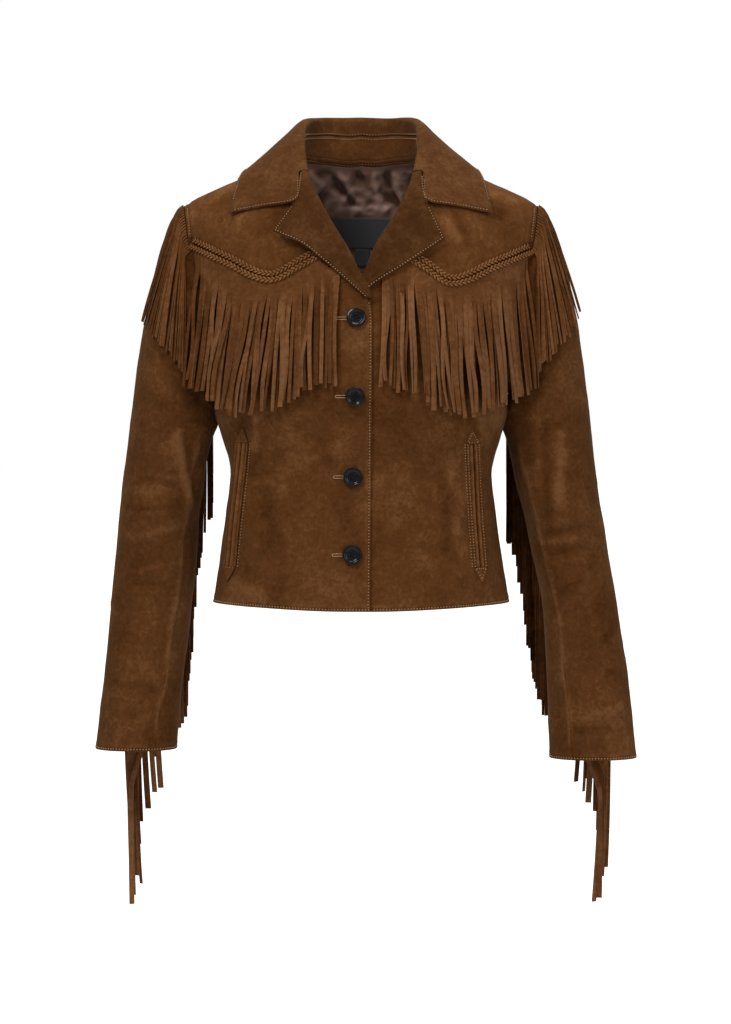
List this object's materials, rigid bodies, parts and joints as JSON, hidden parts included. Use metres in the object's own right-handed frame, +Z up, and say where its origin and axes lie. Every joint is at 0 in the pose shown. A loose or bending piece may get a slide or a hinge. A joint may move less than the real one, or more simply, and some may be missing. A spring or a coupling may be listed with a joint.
{
  "type": "fringed suede jacket",
  "caption": "Short, fitted suede jacket, worn and hollow, with a notched collar, pointed braided yokes, long fringe on chest, shoulders and sleeves, a buttoned front and slanted welt pockets.",
  "frame": {"origin": "between the neck ends of the two shoulder seams, on the line over the shoulders, where the wearer's neck and shoulders hold the jacket", "axes": "+Z up the wearer's body, the front faces -Y, +X towards the wearer's left"},
  "size_m": [0.6108, 0.2487, 0.9088],
  "materials": {
    "suede": "mid-brown napped suede, mottled",
    "fringe": "brown cut suede, both faces napped",
    "lining": "dark brown satin",
    "label": "charcoal woven label, plain",
    "button": "polished black horn look"
  },
  "bodies": {
    "root": {"back": "suede", "back_lining": "lining", "braid_left": "suede", "braid_right": "suede", "button_1": "button", "button_2": "button", "button_3": "button", "button_4": "button", "collar": "suede", "collar_stand": "suede", "fringe_shoulder_left": "fringe", "fringe_shoulder_right": "fringe", "fringe_sleeve_left": "fringe", "fringe_sleeve_right": "fringe", "fringe_yoke_left": "fringe", "fringe_yoke_right": "fringe", "front_left": "suede", "front_right": "suede", "label": "label", "lapel_left": "suede", "lapel_right": "suede", "pocket_left": "suede", "pocket_right": "suede", "size_tab": "label", "sleeve_under_left": "suede", "sleeve_under_right": "suede", "sleeve_upper_left": "suede", "sleeve_upper_right": "suede", "yoke_left": "suede", "yoke_right": "suede"}
  },
  "joints": []
}
